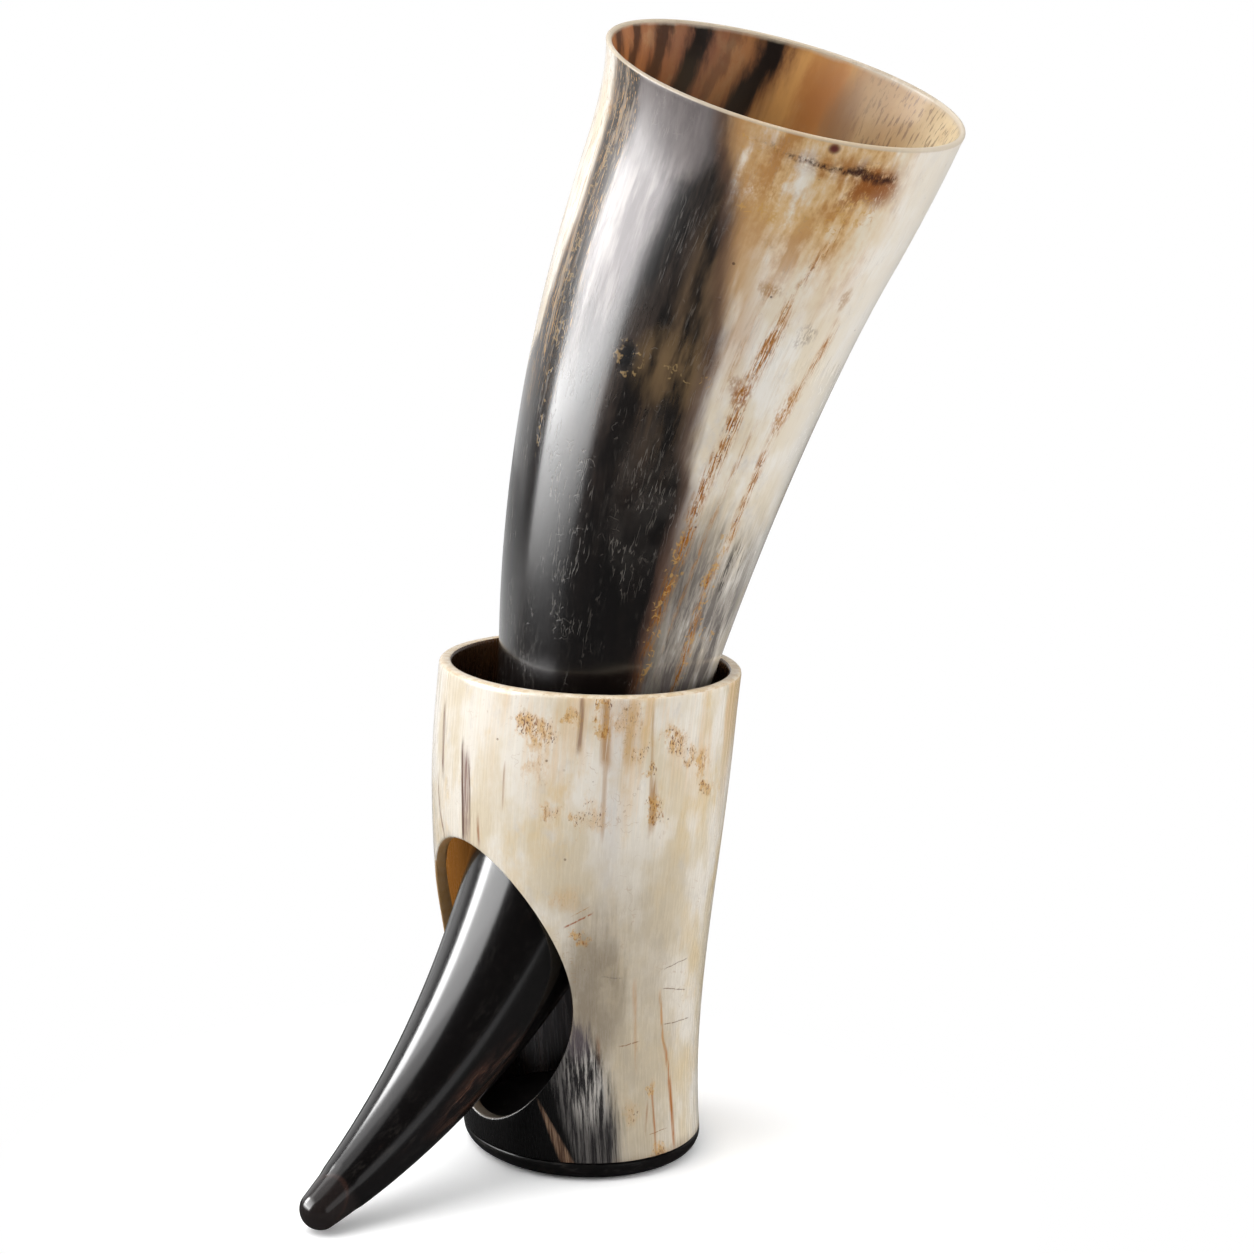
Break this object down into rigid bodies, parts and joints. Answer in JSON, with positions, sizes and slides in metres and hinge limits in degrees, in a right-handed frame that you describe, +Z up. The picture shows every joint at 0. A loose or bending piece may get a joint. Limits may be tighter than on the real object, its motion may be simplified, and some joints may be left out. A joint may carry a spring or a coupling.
{
  "type": "drinking horn with stand",
  "caption": "Curved natural horn drinking cup leaning in a tapered horn sleeve stand, its tip out through an oval window, on a black base disc.",
  "frame": {"origin": "middle of the flat underside of the base disc", "axes": "+Z up, +X to the right and -Y towards the viewer of the picture; the tip points to the left and front"},
  "size_m": [0.1468, 0.1157, 0.2821],
  "materials": {
    "cup_horn": "polished horn, ivory, brown and black",
    "stand_horn": "polished horn, ivory with a black patch",
    "black_horn": "polished black horn"
  },
  "bodies": {
    "stand": {"stand_sleeve": "stand_horn", "base_disc": "black_horn"},
    "horn": {"drinking_horn": "cup_horn"}
  },
  "joints": [
    {"name": "horn_lift", "type": "hinge", "parent": "stand", "child": "horn", "pos_m": [-0.10826, -0.11699, 0.15553], "axis": [0.7431, -0.6691, 0], "range_deg": [0, 60]}
  ]
}
